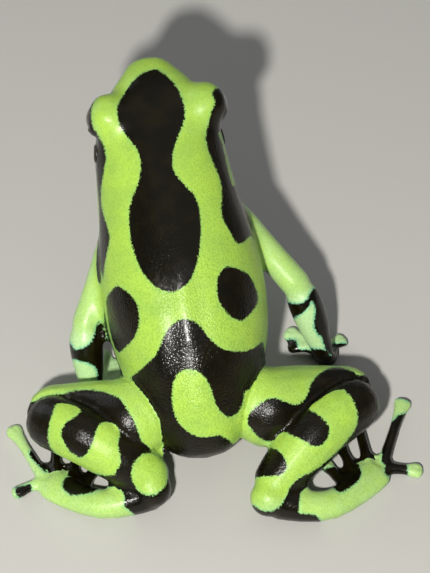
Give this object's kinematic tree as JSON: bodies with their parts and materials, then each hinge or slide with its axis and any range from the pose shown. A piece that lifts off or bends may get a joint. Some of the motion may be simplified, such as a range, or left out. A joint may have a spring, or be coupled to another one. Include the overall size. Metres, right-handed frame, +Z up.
{
  "type": "green and black poison dart frog",
  "caption": "Life-size small frog sitting with folded hind legs and raised head, smooth moist skin in bright green with black bands and spots.",
  "frame": {"origin": "on the floor under the middle of the animal's bounding box", "axes": "+Z up, the frog faces -Y, its left side is +X"},
  "size_m": [0.0384, 0.0402, 0.0231],
  "materials": {
    "skin": "moist, finely granular skin, lime green paling to mint at the limbs, with soft-edged glossy black markings",
    "eardrum": "thin smooth stretched membrane, brownish black, slightly duller than the skin",
    "eye": "wet, very glossy, nearly black with a faint dark brown iris and a horizontal pupil"
  },
  "bodies": {
    "root": {"head": "skin", "torso": "skin", "eye_left": "eye", "eardrum_left": "eardrum", "upper_arm_left": "skin", "forearm_left": "skin", "hand_left": "skin", "finger_1_left": "skin", "finger_2_left": "skin", "finger_3_left": "skin", "finger_4_left": "skin", "thigh_left": "skin", "shank_left": "skin", "foot_left": "skin", "toe_1_left": "skin", "toe_2_left": "skin", "toe_3_left": "skin", "toe_4_left": "skin", "toe_5_left": "skin", "eye_right": "eye", "eardrum_right": "eardrum", "upper_arm_right": "skin", "forearm_right": "skin", "hand_right": "skin", "finger_1_right": "skin", "finger_2_right": "skin", "finger_3_right": "skin", "finger_4_right": "skin", "thigh_right": "skin", "shank_right": "skin", "foot_right": "skin", "toe_1_right": "skin", "toe_2_right": "skin", "toe_3_right": "skin", "toe_4_right": "skin", "toe_5_right": "skin"}
  },
  "joints": []
}
